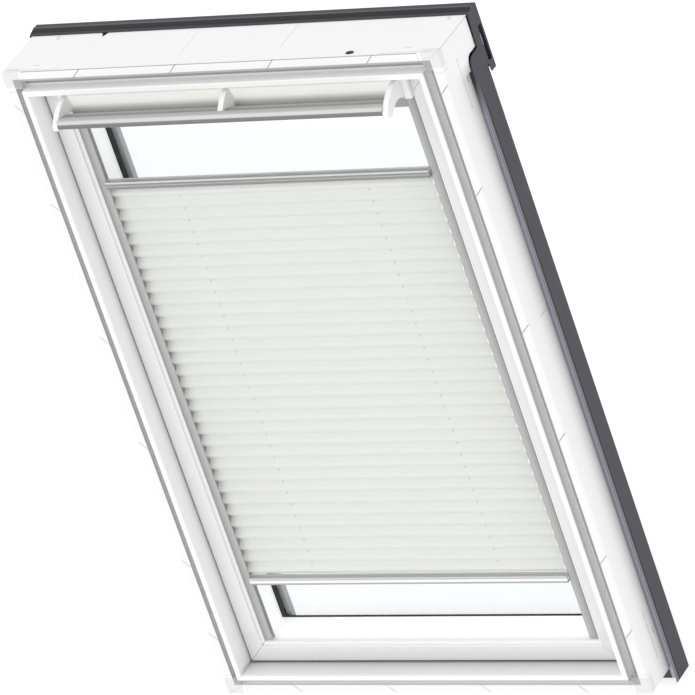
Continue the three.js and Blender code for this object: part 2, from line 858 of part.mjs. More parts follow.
function addHinges() {
  const width = centred(pivotDepth, hingePlateWide);
  const length = centred(0, hingePlateLong);
  for (const [side, hand] of Object.entries(HANDS)) {
    const plate = box(span(hand, openingHalfWidth, openingHalfWidth + hingePlateThick), width, length);
    const pinSpan = span(hand, openingHalfWidth - pivotReach, openingHalfWidth + hingePlateThick / 2);
    const pin = roundBar(pivotRadius, pinSpan, pivotDepth, 0);
    addPiece(`hinge_frame_${side}`, steel, joined([plate, pin]));
    const outer = sashRing.halfWidth;
    const sashPlate = box(span(hand, outer - hingePlateThick, outer), width, length);
    const boreSpan = span(hand, outer - hingePlateThick - cutOverrun, outer + cutOverrun);
    const bore = roundBar(pivotRadius + fitGap, boreSpan, pivotDepth, 0);
    addPiece(`hinge_sash_${side}`, steel, cutFrom(sashPlate, [bore]));
  }
}

// Lock

function addLock() {
  const top = sashRing.halfHeight;
  const floor = top - lockCaseTall;
  const latchRoom = latchTravel + 2 * fitGap;
  const caseBox = box(centred(0, lockCaseWide), centred(pivotDepth, lockCaseDeep), [floor, top]);
  const pocket = box(
    centred(0, latchWide + 2 * fitGap),
    centred(pivotDepth, latchDeep + 2 * fitGap),
    [floor + lockCaseWall, top + cutOverrun],
  );
  addPiece('lock_case', steel, cutFrom(caseBox, [pocket]));
  const latch = box(
    centred(0, latchWide),
    centred(pivotDepth, latchDeep),
    [floor + lockCaseWall + latchRoom, top + latchNose],
  );
  addPiece('lock_latch', steel, latch);
  const strike = box(
    centred(0, strikeWide),
    centred(pivotDepth, strikeDeep),
    [openingHalfHeight, openingHalfHeight + strikeThick],
  );
  addPiece('strike_plate', steel, strike);
}

// Control bar. A place is given by its shares of the arm's reach and rise from the hinge.

function fromHinge([aheadShare, aboveShare]) {
  return [barHingeDepth - armReach * aheadShare, barHingeHeight + armRise * aboveShare];
}

function endArmOutline() {
  const plan = new THREE.Shape();
  plan.moveTo(...fromHinge(armTopBackShares));
  plan.lineTo(...fromHinge(armTopFrontShares));
  plan.quadraticCurveTo(...fromHinge(armCrownShares), ...fromHinge(armNoseShares));
  plan.quadraticCurveTo(...fromHinge(armChinShares), ...fromHinge(armUnderShares));
  plan.bezierCurveTo(...armArchShares.flatMap(fromHinge), ...fromHinge(armArchEndShares));
  plan.lineTo(barHingeDepth, barHingeHeight - barHingeEye);
  plan.absarc(barHingeDepth, barHingeHeight, barHingeEye, -QUARTER_TURN, 0, false);
  plan.closePath();
  return plan;
}

// The curved flap with the lip that carries the bar. Room is a clearance added all along its
// room side, for what stands against it.
function flapOutline(room) {
  const near = (shares) => {
    const [depth, height] = fromHinge(shares);
    return [depth - room, height + room];
  };
  const far = (shares) => {
    const [depth, height] = fromHinge(shares);
    return [depth + flapThickness, height - flapThickness];
  };
  const lipEnd = [barBack + fitGap - room, barHingeHeight + armRise * lipEndAboveShare + room];
  const plan = new THREE.Shape();
  plan.moveTo(...near(flapTopShares));
  plan.quadraticCurveTo(...near(flapBellyShares), ...near(flapValleyShares));
  plan.quadraticCurveTo(...near(lipCrownShares), ...lipEnd);
  plan.lineTo(lipEnd[0], lipEnd[1] - flapThickness - room);
  plan.quadraticCurveTo(fromHinge(lipCrownShares)[0], far(lipCrownShares)[1], ...far(flapValleyShares));
  plan.quadraticCurveTo(far(flapBellyShares)[0], fromHinge(flapBellyShares)[1], ...flapBackTop(room));
  plan.closePath();
  return plan;
}

function flapBackTop(room) {
  const [depth, height] = fromHinge(flapTopShares);
  return [depth + flapThickness, height + room];
}

// The middle point of a curve with one control point
function curveMiddle(from, control, to) {
  return from.map((value, i) => (value + 2 * control[i] + to[i]) / 4);
}

// The middle arm's outline runs on into the flap, which is then cut away with a clearance
function middleArmOutline() {
  const back = barBack + fitGap;
  const inside = flapThickness / 2;
  const lipEnd = [back, barHingeHeight + armRise * lipEndAboveShare];
  const [top, belly, valley, lipCrown] = [
    flapTopShares, flapBellyShares, flapValleyShares, lipCrownShares,
  ].map(fromHinge);
  const flapMiddle = curveMiddle(top, belly, valley);
  const lipMiddle = curveMiddle(valley, lipCrown, lipEnd);
  const plan = new THREE.Shape();
  plan.moveTo(top[0] - fitGap, top[1]);
  plan.lineTo(...fromHinge(webTopShares));
  plan.quadraticCurveTo(...fromHinge(webCrownShares), back, barTop);
  plan.lineTo(back, lipEnd[1] - inside);
  plan.lineTo(lipMiddle[0], lipMiddle[1] - inside);
  plan.lineTo(valley[0] + inside, valley[1] - inside);
  plan.lineTo(flapMiddle[0] + inside, flapMiddle[1]);
  plan.closePath();
  return plan;
}

function controlBarOutline() {
  const front = barHingeDepth - armReach;
  const under = barHingeHeight - armRise * barBelowShare;
  const plan = new THREE.Shape();
  plan.moveTo(barBack, barTop);
  plan.lineTo(front + barRounding, barTop);
  plan.quadraticCurveTo(front, barTop, front, barTop - barRounding);
  plan.lineTo(front, under + barRounding);
  plan.quadraticCurveTo(front, under, front + barRounding, under);
  plan.lineTo(barBack, under);
  plan.closePath();
  return plan;
}

function addControlBar() {
  const barEnd = armInnerEnd - fitGap;
  addPiece('control_bar', white, alongX(controlBarOutline(), -barEnd, barEnd));
  for (const [side, hand] of Object.entries(HANDS)) {
    const arm = alongX(endArmOutline(), ...span(hand, armInnerEnd, armInnerEnd + armWidth));
    const boreSpan = span(hand, armInnerEnd - cutOverrun, armInnerEnd + armWidth + cutOverrun);
    const bore = roundBar(barPinRadius + fitGap, boreSpan, barHingeDepth, barHingeHeight);
    addPiece(`bar_arm_${side}`, white, cutFrom(arm, [bore]));
    const lugInner = armInnerEnd + armWidth + fitGap;
    const lug = box(
      span(hand, lugInner, lugInner + lugWidth),
      [barHingeDepth - lugAhead, sashFace - beadRise - fitGap],
      [barHingeHeight - lugBelow, barHingeHeight + lugAbove],
    );
    const pin = roundBar(
      barPinRadius,
      span(hand, armInnerEnd + fitGap, lugInner + lugWidth / 2),
      barHingeDepth,
      barHingeHeight,
    );
    addPiece(`bar_hinge_${side}`, steel, joined([lug, pin]));
  }
  const web = alongX(middleArmOutline(), -armWidth / 2, armWidth / 2);
  const flapRoom = alongX(flapOutline(fitGap), -armWidth, armWidth);
  addPiece('bar_arm_middle', white, cutFrom(web, [flapRoom]));
}

function addFlap() {
  const flapEnd = armInnerEnd - fitGap;
  addPiece('vent_flap', cream, alongX(flapOutline(0), -flapEnd, flapEnd));
}

// Blind

function addRails() {
  const back = railRoomFace + railDepth;
  for (const [side, hand] of Object.entries(HANDS)) {
    const section = outline([
      [railInnerEdge, railRoomFace],
      [railOuterEdge, railRoomFace],
      [railOuterEdge, railRoomFace + railWall],
      [railBackEdge, railRoomFace + railWall],
      [railBackEdge, back],
      [railInnerEdge, back],
      [railInnerEdge, back - railWall],
      [railBackEdge - railWall, back - railWall],
      [railBackEdge - railWall, railRoomFace + railWall],
      [railInnerEdge, railRoomFace + railWall],
    ].map(([x, y]) => [hand * x, y]));
    addPiece(`rail_${side}`, greyAluminium, alongZ(section, -railHalfLength, railHalfLength));
  }
  const low = railHalfLength - headRailTall;
  const channel = outline([
    [railRoomFace, low],
    [back, low],
    [back, low + railWall],
    [railRoomFace + railWall, low + railWall],
    [railRoomFace + railWall, railHalfLength - railWall],
    [back, railHalfLength - railWall],
    [back, railHalfLength],
    [railRoomFace, railHalfLength],
  ]);
  const reach = railInnerEdge - fitGap;
  addPiece('rail_top', greyAluminium, alongX(channel, -reach, reach));
}

// A blind bar's section in (y, z), with ribs along its room face
function blindBarSection(low) {
  const pitch = blindBarTall / blindRibCount;
  const valley = blindBarFront + blindRibDepth;
  const back = blindBarFront + blindBarDepth;
  const points = [[back, low], [back, low + blindBarTall]];
  for (let rib = blindRibCount - 1; rib >= 0; rib -= 1) {
    const ribTop = low + (rib + 1) * pitch;
    const ribLow = ribTop - pitch * blindRibShare;
    points.push([blindBarFront, ribTop], [blindBarFront, ribLow]);
    if (rib > 0) {
      points.push([valley, ribLow], [valley, low + rib * pitch]);
    } else {
      points.push([valley, low]);
    }
  }
  return outline(points);
}

function addBlindBars() {
  const halfLength = railInnerEdge - fitGap;
  const gliderDepth = [railRoomFace + railWall + fitGap, railRoomFace + railDepth - railWall - fitGap];
  for (const [name, low] of [['top', topBarUnderside], ['bottom', bottomBarTop - blindBarTall]]) {
    addPiece(`blind_${name}_bar`, greyAluminium, alongX(blindBarSection(low), -halfLength, halfLength));
    for (const [side, hand] of Object.entries(HANDS)) {
      const glider = box(
        span(hand, halfLength + fitGap, railBackEdge - railWall - fitGap),
        gliderDepth,
        centred(low + blindBarTall / 2, gliderTall),
      );
      addPiece(`glider_${name}_${side}`, white, glider);
    }
  }
}

// Half of the pleated cloth: folds run in a zigzag from one bar to the middle of the stack
function pleatedSection(zFrom, zTo, startsAtFront) {
  const wall = fabricThickness;
  const step = (zTo - zFrom) / pleatCount;
  const front = [];
  const back = [];
  for (let fold = 0; fold <= pleatCount; fold += 1) {
    const atFront = (fold % 2 === 0) === startsAtFront;
    const depth = atFront ? fabricFront : fabricBack - wall;
    front.push([depth, zFrom + fold * step]);
    back.unshift([depth + wall, zFrom + fold * step]);
  }
  return outline([...front, ...back]);
}

function addFabric() {
  const halfLength = railInnerEdge - fabricEdgeGap;
  const low = bottomBarTop + fitGap;
  const high = topBarUnderside - fitGap;
  const middle = (low + high) / 2;
  const lower = pleatedSection(low, middle - fitGap / 2, false);
  const upper = pleatedSection(middle + fitGap / 2, high, true);
  addPiece('fabric_lower', pleatedCloth, alongX(lower, -halfLength, halfLength));
  addPiece('fabric_upper', pleatedCloth, alongX(upper, -halfLength, halfLength));
}

addFrame();
addCollar();
addSeals();
addSideCovers();
addCoverCorners();
addEndCovers();
addSash();
addGlass();
addHinges();
addLock();
addControlBar();
addFlap();
addRails();
addBlindBars();
addFabric();

pieces.position.set(0, -flatMiddle, halfHeight);
const roofWindow = new THREE.Group();
roofWindow.add(pieces);
export default roofWindow;
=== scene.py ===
# %% [markdown]
# # A roof window with a pleated blind
#
# The object is a white centre-pivot roof window. A frame sits in the roof, a sash turns in it, and
# a pleated blind runs in two rails on the sash. Every length here is in metres. X is the width, +Y
# points out through the roof, and +Z points up the window.
#
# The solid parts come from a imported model, which the first cell loads. They could be modelled
# again here, but a loaded frame keeps one truth about sizes: this script only dresses it, and
# builds what a solid can't show, such as the thin folded cloth.

# %% Load the frame
import json
import math
import random
from collections import namedtuple

import bmesh
import bpy
from mathutils import Matrix, Vector


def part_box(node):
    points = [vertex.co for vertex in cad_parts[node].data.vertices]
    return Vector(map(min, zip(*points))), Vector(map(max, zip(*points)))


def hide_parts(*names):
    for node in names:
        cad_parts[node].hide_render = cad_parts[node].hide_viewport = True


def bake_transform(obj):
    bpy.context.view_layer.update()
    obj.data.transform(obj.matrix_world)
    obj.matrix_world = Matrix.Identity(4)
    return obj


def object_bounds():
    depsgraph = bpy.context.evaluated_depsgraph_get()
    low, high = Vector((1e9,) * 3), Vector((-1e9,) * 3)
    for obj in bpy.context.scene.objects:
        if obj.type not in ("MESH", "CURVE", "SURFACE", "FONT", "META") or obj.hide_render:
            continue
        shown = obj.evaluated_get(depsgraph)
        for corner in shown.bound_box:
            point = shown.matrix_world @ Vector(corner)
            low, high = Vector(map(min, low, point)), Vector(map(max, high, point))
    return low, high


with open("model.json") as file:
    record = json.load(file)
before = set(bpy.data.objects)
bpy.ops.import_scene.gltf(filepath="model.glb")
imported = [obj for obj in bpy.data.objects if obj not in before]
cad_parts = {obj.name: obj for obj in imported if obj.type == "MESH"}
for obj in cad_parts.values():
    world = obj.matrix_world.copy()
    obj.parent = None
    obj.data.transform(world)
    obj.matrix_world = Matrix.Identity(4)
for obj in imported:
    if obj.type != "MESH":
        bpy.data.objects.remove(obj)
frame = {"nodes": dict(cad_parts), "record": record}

cad_lowest, cad_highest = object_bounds()
print("CAD box from", tuple(cad_lowest), "to", tuple(cad_highest))

# %% [markdown]
# ## Landmarks
#
# A real window is measured from its outer edges, so the landmarks come from the boxes of the
# loaded pieces. Typing the same numbers again would be quicker, but they would go stale as soon
# as the frame changes. The middle of the window, on the flat face that looks into the room, is
# the point that most places below start from.

# %% Landmarks taken from the frame
MM = 0.001
left_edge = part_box("collar_left")[0].x
right_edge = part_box("collar_right")[1].x
room_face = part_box("collar_left")[0].y
window_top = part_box("collar_top")[1].z
MIDDLE = Vector(((left_edge + right_edge) / 2, room_face, window_top / 2))
print("window", round(right_edge - left_edge, 4), "wide,", round(window_top, 4), "high")

# %% [markdown]
# ## The camera
#
# The photographer stood far away with a long lens, high and to the right, and turned the camera
# so that the window leans in the picture. A viewer could fly there by hand. Writing the stand as
# angles round the window, a distance and a roll keeps it exact, and the numbers stay readable.
# The lens is very long because the edges of the window stay almost parallel in the picture.

# %% Camera
CAMERA_AZIMUTH = 35.18
CAMERA_ELEVATION = 27.71
CAMERA_DISTANCE = 12.1765
CAMERA_ROLL = -19.34
CAMERA_AIM = Vector((56.9, 0, 67.3)) * MM
CAMERA_LENS = 404.5


def direction(azimuth, elevation):
    """The unit vector from the window towards a stand at these angles, in degrees."""
    turn, rise = math.radians(azimuth), math.radians(elevation)
    level = math.cos(rise)
    return Vector((math.sin(turn) * level, -math.cos(turn) * level, math.sin(rise)))


def aimed(place, target, roll=0):
    """The matrix of a camera or lamp that stands at place and looks at target."""
    turn = (target - place).to_track_quat("-Z", "Y").to_matrix()
    turn = turn @ Matrix.Rotation(math.radians(roll), 3, "Z")
    return Matrix.Translation(place) @ turn.to_4x4()


scene = bpy.context.scene
camera = bpy.data.objects.new("camera", bpy.data.cameras.new("camera"))
scene.collection.objects.link(camera)
scene.camera = camera
camera.data.lens = CAMERA_LENS
camera.data.clip_end = 100
stand = MIDDLE + direction(CAMERA_AZIMUTH, CAMERA_ELEVATION) * CAMERA_DISTANCE
camera.matrix_world = aimed(stand, MIDDLE + CAMERA_AIM, CAMERA_ROLL)
print("camera stands at", tuple(round(x, 3) for x in stand))

# %% [markdown]
# ## Light
#
# The window stands in a bright white studio: light comes from all round, and a little more from
# the left, the front and above. That could be done with four soft boxes. A white world gives the
# same even light without any hot spot, and one wide sun adds the difference between the faces.
# The colours are shown with the Standard view, because the other views grey a white object.

# %% World, sun and colour view
WORLD_STRENGTH = 0.94
SUN_STRENGTH = 0.5
SUN_WIDTH = 50
SUN_AZIMUTH = -32
SUN_ELEVATION = 42

scene.view_settings.view_transform = "Standard"
world = bpy.data.worlds.new("studio")
scene.world = world
world.use_nodes = True
world.node_tree.nodes["Background"].inputs["Color"].default_value = (1, 1, 1, 1)
world.node_tree.nodes["Background"].inputs["Strength"].default_value = WORLD_STRENGTH
sun = bpy.data.objects.new("sun", bpy.data.lights.new("sun", "SUN"))
scene.collection.objects.link(sun)
sun.data.energy = SUN_STRENGTH
sun.data.angle = math.radians(SUN_WIDTH)
sun.matrix_world = aimed(MIDDLE + direction(SUN_AZIMUTH, SUN_ELEVATION) * 4, MIDDLE)

# %% [markdown]
# ## Shader sums
#
# A finish is a net of nodes. Nets are usually wired by hand in the editor. Here one small class
# wraps a socket, so that a sum such as `1 - mask * 0.5` adds its own Math nodes, and one method
# adds every other kind of node: first its settings, then what goes into its sockets.


# %% A class that wraps a socket
class Signal:
    """One output socket of a finish's nodes."""

    def __init__(self, tree, socket):
        self.tree = tree
        self.socket = socket

    def node(self, kind, settings, inputs, output=0):
        """Adds a node of a kind: its settings, then values or signals by socket name or number."""
        made = self.tree.nodes.new(kind)
        for name, value in settings.items():
            if name == "stops":
                for index, (position, tone) in enumerate(value):
                    if index >= len(made.color_ramp.elements):
                        made.color_ramp.elements.new(position)
                    made.color_ramp.elements[index].position = position
                    made.color_ramp.elements[index].color = (tone, tone, tone, 1)
            else:
                setattr(made, name, value)
        for name, value in inputs.items():
            if isinstance(value, Signal):
                self.tree.links.new(value.socket, made.inputs[name])
            else:
                made.inputs[name].default_value = value
        return Signal(self.tree, made.outputs[output])

    def math(self, operation, first, second=0):
        """Adds a Math node."""
        return self.node("ShaderNodeMath", {"operation": operation}, {0: first, 1: second})

    def __add__(self, other):
        return self.math("ADD", self, other)

    def __sub__(self, other):
        return self.math("SUBTRACT", self, other)

    def __rsub__(self, other):
        return self.math("SUBTRACT", other, self)

    def __mul__(self, other):
        return self.math("MULTIPLY", self, other)

    def __abs__(self):
        return self.math("ABSOLUTE", self)

    __radd__ = __add__
    __rmul__ = __mul__


# %% [markdown]
# ## A start for every finish
#
# Each finish begins with the same two things: a Principled shader and the place on the piece in
# metres, and most add a slow cloudy noise that keeps large faces from looking like plain paper.
# The place is taken from the object's own coordinates, which for these pieces are the frame's
# metres, so a grain of one millimetre is one millimetre on every piece.

# %% Finish helpers
FINISHES = {}


def new_finish(name, coordinates="Object"):
    """A material, its shader node and the signal of the place on the piece."""
    material = bpy.data.materials.new(name)
    material.use_nodes = True
    tree = material.node_tree
    places = tree.nodes.new("ShaderNodeTexCoord")
    FINISHES[name] = material
    return tree.nodes["Principled BSDF"], Signal(tree, places.outputs[coordinates])


def stretched(place, factors):
    """The place with each axis scaled, so that a noise on it becomes streaks."""
    return place.node("ShaderNodeVectorMath", {"operation": "MULTIPLY"}, {0: place, 1: factors})


def noise(place, grain, detail=3.0):
    """A cloudy signal from 0 to 1 whose clouds are about grain metres wide."""
    sockets = {"Vector": place, "Scale": 1 / grain, "Detail": detail}
    return place.node("ShaderNodeTexNoise", {}, sockets)


def blended(amount, first, second):
    """A colour between two colours."""
    return amount.node("ShaderNodeMix", {"data_type": "RGBA"}, {0: amount, 6: first, 7: second}, 2)


def rough_surface(height, depth):
    """A normal bent by a height signal; depth is the height of the bumps in metres."""
    return height.node("ShaderNodeBump", {}, {"Strength": 1.0, "Distance": depth, "Height": height})


def rising(value, start, end):
    """A signal that rises from 0 to 1 while value goes from start to end; it stays put outside."""
    sockets = {"Value": value, "From Min": start, "From Max": end}
    return value.node("ShaderNodeMapRange", {"clamp": True}, sockets)


def within(value, low, high, soft):
    """1 where value lies between low and high, and 0 elsewhere, with soft edges."""
    return rising(value, low - soft, low) * (1 - rising(value, high, high + soft))


def toned(colour, tone):
    """A colour made darker or lighter by a tone; 1 leaves it as it is."""
    return tone.node("ShaderNodeVectorMath", {"operation": "SCALE"}, {0: colour, "Scale": tone})


def chosen(share, first, second):
    """The first signal or number where share is 0, and the second where share is 1."""
    return share * second + (1 - share) * first


def feed(shader, **signals):
    """Links signals, or sets plain values, on the shader's sockets."""
    for name, value in signals.items():
        socket = shader.inputs[name.replace("_", " ")]
        if isinstance(value, Signal):
            value.tree.links.new(value.socket, socket)
        else:
            socket.default_value = value


def grey(level, tint=(1, 1, 1)):
    """A colour from a lightness and a tint."""
    return tuple(level * part for part in tint) + (1,)


def scaled(colour, factor):
    """A plain colour made darker or lighter."""
    return tuple(part * factor for part in colour[:3]) + (1,)


# %% [markdown]
# ## Where shade and light are painted on the window
#
# Painted shade goes in the groove, in the gap round the sash and behind the bars, and painted
# highlights and painted light go on some faces of metal and plastic. A picture could hold such
# marks, but every piece would have to be unwrapped for it. The spot on the window says as much:
# how far in from the outer edge a point lies, and how deep behind the face that looks into the
# room, both in millimetres. A tone, drawn as a short list of marks along one of them, then makes
# the finish darker or lighter there, as painted shade or painted light.

# %% The spot of a point, in millimetres
HALF_WIDTH = (right_edge - left_edge) / 2 / MM
HALF_HEIGHT = window_top / 2 / MM

Spot = namedtuple("Spot", "inset from_side from_end depth across height")


def window_spot(place):
    """Insets from the outer edges, depth behind the room face, and place across and up."""
    parts = [place.node("ShaderNodeSeparateXYZ", {}, {0: place}, output) for output in range(3)]
    across, depth, height = ((part - centre) * (1 / MM) for part, centre in zip(parts, MIDDLE))
    from_side = HALF_WIDTH - abs(across)
    from_end = HALF_HEIGHT - abs(height)
    inset = from_side.math("MINIMUM", from_side, from_end)
    return Spot(inset, from_side, from_end, depth, across, height)


def steps(value, marks):
    """A tone drawn as pairs of a place in millimetres, in rising order, and the tone there."""
    low, high = marks[0][0], marks[-1][0]
    stops = [((mark - low) / (high - low), tone) for mark, tone in marks]
    return value.node("ShaderNodeValToRGB", {"stops": stops}, {0: rising(value, low, high)})


def paint(shader, place, colour, tone_of=None, glow_of=None):
    """Feeds the colour, darker or lighter by a tone of painted shade, and a painted glow."""
    if tone_of:
        colour = toned(colour, tone_of(window_spot(place)))
    feed(shader, Base_Color=colour)
    if glow_of:
        glow = toned((1, 1, 1), glow_of(window_spot(place)))
        feed(shader, Emission_Color=glow, Emission_Strength=1.0)


print("half the window is", round(HALF_WIDTH, 1), "by", round(HALF_HEIGHT, 1), "mm")

# %% [markdown]
# ## White lacquer
#
# Frame and sash are white lacquered profiles. Plain white would do from far away. Close up, real
# lacquer has a faint orange peel and dulls a little in patches, so the bump has grains of about
# a millimetre, and the roughness drifts slowly along the profile.

# %% White lacquer finish
LACQUER_PATCH = 0.12
PATCH_LEVEL = 0.975
WARM_TINT = (1, 1, 0.995)
PEEL_GRAIN = 0.0016
PEEL_HEIGHT = 0.00003


def white_lacquer(name, level, tone_of, glow_of=None):
    """White lacquer of a lightness, with painted shade and a painted glow by the spot."""
    shader, place = new_finish(name)
    drift = noise(place, LACQUER_PATCH)
    lacquer = blended(drift, grey(level * PATCH_LEVEL), grey(level, WARM_TINT))
    paint(shader, place, lacquer, tone_of, glow_of)
    feed(
        shader,
        Roughness=0.30 + drift * 0.12,
        Normal=rough_surface(noise(place, PEEL_GRAIN, 2.0), PEEL_HEIGHT),
        Coat_Weight=0.15,
        Coat_Roughness=0.2,
    )


# %% [markdown]
# ## Painted shade on the frame and the sash
#
# The groove for the lining and the gap round the sash get painted shade, and the hollow inner
# face gets painted shade that darkens towards the gap; the rim's outer side gets painted shade
# and, deeper in, a little painted light. Bounced light could do all of it, but a studio that is
# white all round fills such grooves too well. The sash's face gets painted shade towards its
# outer edge. The bevel next to the glass gets a painted glow, a painted light for the daylight
# that real panes pour on it.

# %% Painted shade on the frame
# Painted shade, and a little painted light, on the frame by inset and depth.
RIM_OUTER = 31.0
RIM_SIDE_DEPTHS = (-7.5, 11.0)
RIM_SIDE_TONES = [(-8, 0.66), (-3, 0.6), (0, 0.76), (3, 0.93), (7, 1.05), (12, 1.08)]
COVE_OUTER = 40.9
LOWER_COVE_TONES = [(-8, 0.97), (2, 0.88), (12, 0.76), (20, 0.6), (22, 0.34)]
OTHER_COVE_TONES = [(-8, 1.04), (4, 1.02), (13, 0.95), (24, 0.76)]
GROOVE_FLOOR = 11.5
UPRIGHT_FLOOR_TONES = [(24.0, 0.5), (28.2, 0.54), (29.6, 0.95), (31.0, 0.97)]
LEVEL_FLOOR_TONE = 0.42
LOWER_FLOOR_GAIN = 0.25
LOWER_FRAME_TOP = 50.0


def frame_painted_shade(at):
    """Painted shade in the groove, the cove, the gap and on the rim's side; a little painted light.
    """
    level = 1 - rising(at.from_end, RIM_OUTER - 0.5, RIM_OUTER)
    low = 1 - rising(at.height, LOWER_FRAME_TOP - 1 - HALF_HEIGHT, LOWER_FRAME_TOP - HALF_HEIGHT)
    level_floor = LEVEL_FLOOR_TONE + low * LOWER_FLOOR_GAIN
    floor_tone = chosen(level, steps(at.inset, UPRIGHT_FLOOR_TONES), level_floor)
    on_floor = rising(at.depth, GROOVE_FLOOR - 1, GROOVE_FLOOR)
    on_floor = on_floor * (1 - rising(at.inset, RIM_OUTER - 0.2, RIM_OUTER + 0.2))
    on_rim_side = within(at.inset, RIM_OUTER - 1, RIM_OUTER + 0.2, 0.2)
    on_rim_side = on_rim_side * within(at.depth, *RIM_SIDE_DEPTHS, 0.5)
    in_cove = rising(at.inset, COVE_OUTER - 0.4, COVE_OUTER)
    cove_tone = chosen(low, steps(at.depth, OTHER_COVE_TONES), steps(at.depth, LOWER_COVE_TONES))
    tone = chosen(on_floor, 1.0, floor_tone)
    tone = tone * chosen(on_rim_side, 1.0, steps(at.depth, RIM_SIDE_TONES))
    return tone * chosen(in_cove, 1.0, cove_tone)


white_lacquer("white_frame", 0.90, frame_painted_shade)

# %% Painted shade and painted light on the sash
# Painted shade on the sash face and painted light on the bevel.
SASH_FACE_END = 76.0
SASH_FACE_TONES = [(49.8, 0.77), (58.0, 0.84), (74.0, 0.90)]
LOWER_SASH_TOP = -480
LOWER_SASH_LOSS = 0.06
BEVEL_DEPTHS = (30, 42)
BEVEL_INSETS = (80, 85)
BEVEL_GLOW = 0.30


def sash_painted_shade(at):
    """Painted shade: the face is greyer than the bead, greyest at its outer edge and lower down."""
    low = 1 - rising(at.height, LOWER_SASH_TOP - 10, LOWER_SASH_TOP)
    on_face = 1 - rising(at.inset, SASH_FACE_END - 0.3, SASH_FACE_END)
    return chosen(on_face, 1.0, steps(at.inset, SASH_FACE_TONES) * (1 - low * LOWER_SASH_LOSS))


def sash_painted_light(at):
    """Painted light on the bevel between the face and the panes, for daylight."""
    return rising(at.depth, *BEVEL_DEPTHS) * rising(at.inset, *BEVEL_INSETS) * BEVEL_GLOW


white_lacquer("white_sash", 0.88, sash_painted_shade, sash_painted_light)

# %% [markdown]
# ## White mouldings
#
# The collar round the frame is moulded from a dense foam plastic. Its skin is matt and shows the
# beads it was blown from, as very shallow cells. Cells are what a Voronoi texture makes, so it is
# used here for the bump, under a fine noise. The small white mouldings are smoother.

# %% Moulded plastic finish
SKIN_DRIFT = 0.09
FOAM_BEAD = 0.0035
FOAM_HEIGHT = 0.00004
FINE_BEAD = 0.0012
FINE_HEIGHT = 0.00001


def moulded_plastic(name, colour, roughness, bead, bead_height, tone_of=None, glow_of=None):
    """Plastic with a skin of shallow cells; bead is their width and bead_height their height."""
    shader, place = new_finish(name)
    drift = noise(place, SKIN_DRIFT)
    cells = place.node("ShaderNodeTexVoronoi", {}, {"Vector": place, "Scale": 1 / bead})
    skin = cells + noise(place, bead / 4) * 0.6
    paint(shader, place, blended(drift, scaled(colour, 0.97), colour), tone_of, glow_of)
    feed(shader, Roughness=roughness + drift * 0.1, Normal=rough_surface(skin, bead_height))


moulded_plastic("white_plastic", grey(0.90), 0.35, FINE_BEAD, FINE_HEIGHT)

# %% [markdown]
# ## Tones of the collar
#
# The collar's outer sides run back to the dark covers and get painted shade there, with a
# painted shadow under the top cover, and its joints and corner blocks are a shade darker. Traced
# shadows give some of that shade, but a studio that is white all round keeps them faint, so a
# tone paints the rest, also on the side that looks into the groove. The side that looks into the
# lower groove catches light from above, and gets a painted glow for it.

# %% Painted shade, painted light and darker joints on the collar
FLANK_INSET = 5.5
FLANK_FADE = (505, 530)
FLANK_TONES = [(10, 0.98), (30, 0.92), (42, 0.8), (56, 0.58), (66, 0.38), (72, 0.3)]
UNDER_COVER_TONES = [(60, 1.0), (97, 0.96), (103, 0.8), (109, 0.45)]
GROOVE_SIDE_INSET = 16.8
GROOVE_SIDE_FOOT = 11.8
GROOVE_SIDE_TONES = [(0, 0.5), (4, 0.72), (9, 0.92)]
LOWER_SIDE_GLOW = 0.17
JOINT_INSETS = (3.6, 16.2)
JOINT_DEPTHS = (0.8, 2.7)
JOINT_LOSS = 0.55
CORNER_SIZE = 30.0
CORNER_DEPTH = 11.0
CORNER_LOSS = 0.12


def on_groove_side(at):
    """1 on the side of the collar that looks into the groove."""
    before_floor = 1 - rising(at.depth, GROOVE_SIDE_FOOT, GROOVE_SIDE_FOOT + 0.4)
    return rising(at.inset, GROOVE_SIDE_INSET - 0.4, GROOVE_SIDE_INSET) * before_floor


def collar_painted_shade_and_joints(at):
    """Painted shade by the side covers, under the top cover and in the groove; darker joints."""
    on_flank = 1 - rising(at.from_side, FLANK_INSET, FLANK_INSET + 0.5)
    on_flank = on_flank * (1 - rising(at.height, *FLANK_FADE))
    on_top = rising(at.height, HALF_HEIGHT - 1, HALF_HEIGHT - 0.5)
    joint = within(at.inset, *JOINT_INSETS, 0.4) * within(at.depth, *JOINT_DEPTHS, 0.3)
    from_corner = at.inset.math("MAXIMUM", at.from_side, at.from_end)
    corner = 1 - rising(from_corner, CORNER_SIZE, CORNER_SIZE + 0.6)
    corner = corner * (1 - rising(at.depth, CORNER_DEPTH, CORNER_DEPTH + 0.5))
    tone = chosen(on_flank, 1.0, steps(at.depth, FLANK_TONES))
    tone = tone * chosen(on_top, 1.0, steps(at.depth, UNDER_COVER_TONES))
    tone = tone * chosen(on_groove_side(at), 1.0, steps(at.depth, GROOVE_SIDE_TONES))
    return tone * (1 - joint * JOINT_LOSS) * (1 - corner * CORNER_LOSS)


def collar_painted_light(at):
    """Painted light on the lower groove's side, which looks up into the light."""
    low = 1 - rising(at.height, 17.6 - HALF_HEIGHT, 18.0 - HALF_HEIGHT)
    return low * on_groove_side(at) * LOWER_SIDE_GLOW


moulded_plastic(
    "white_collar", grey(0.90), 0.55, FOAM_BEAD, FOAM_HEIGHT, collar_painted_shade_and_joints, collar_painted_light
)

# %% [markdown]
# ## The vent flap
#
# The flap behind the control bar is a thin cream moulding. Its lip lies in the shade of the bar,
# which is painted shade, and its wall gets painted shade that darkens towards the foot. Its upper
# wall gets a painted glow for the daylight that comes through it. A translucent shader would let
# light through too, but the light would then come out even along the wall, and on the real flap
# it fades towards the foot.

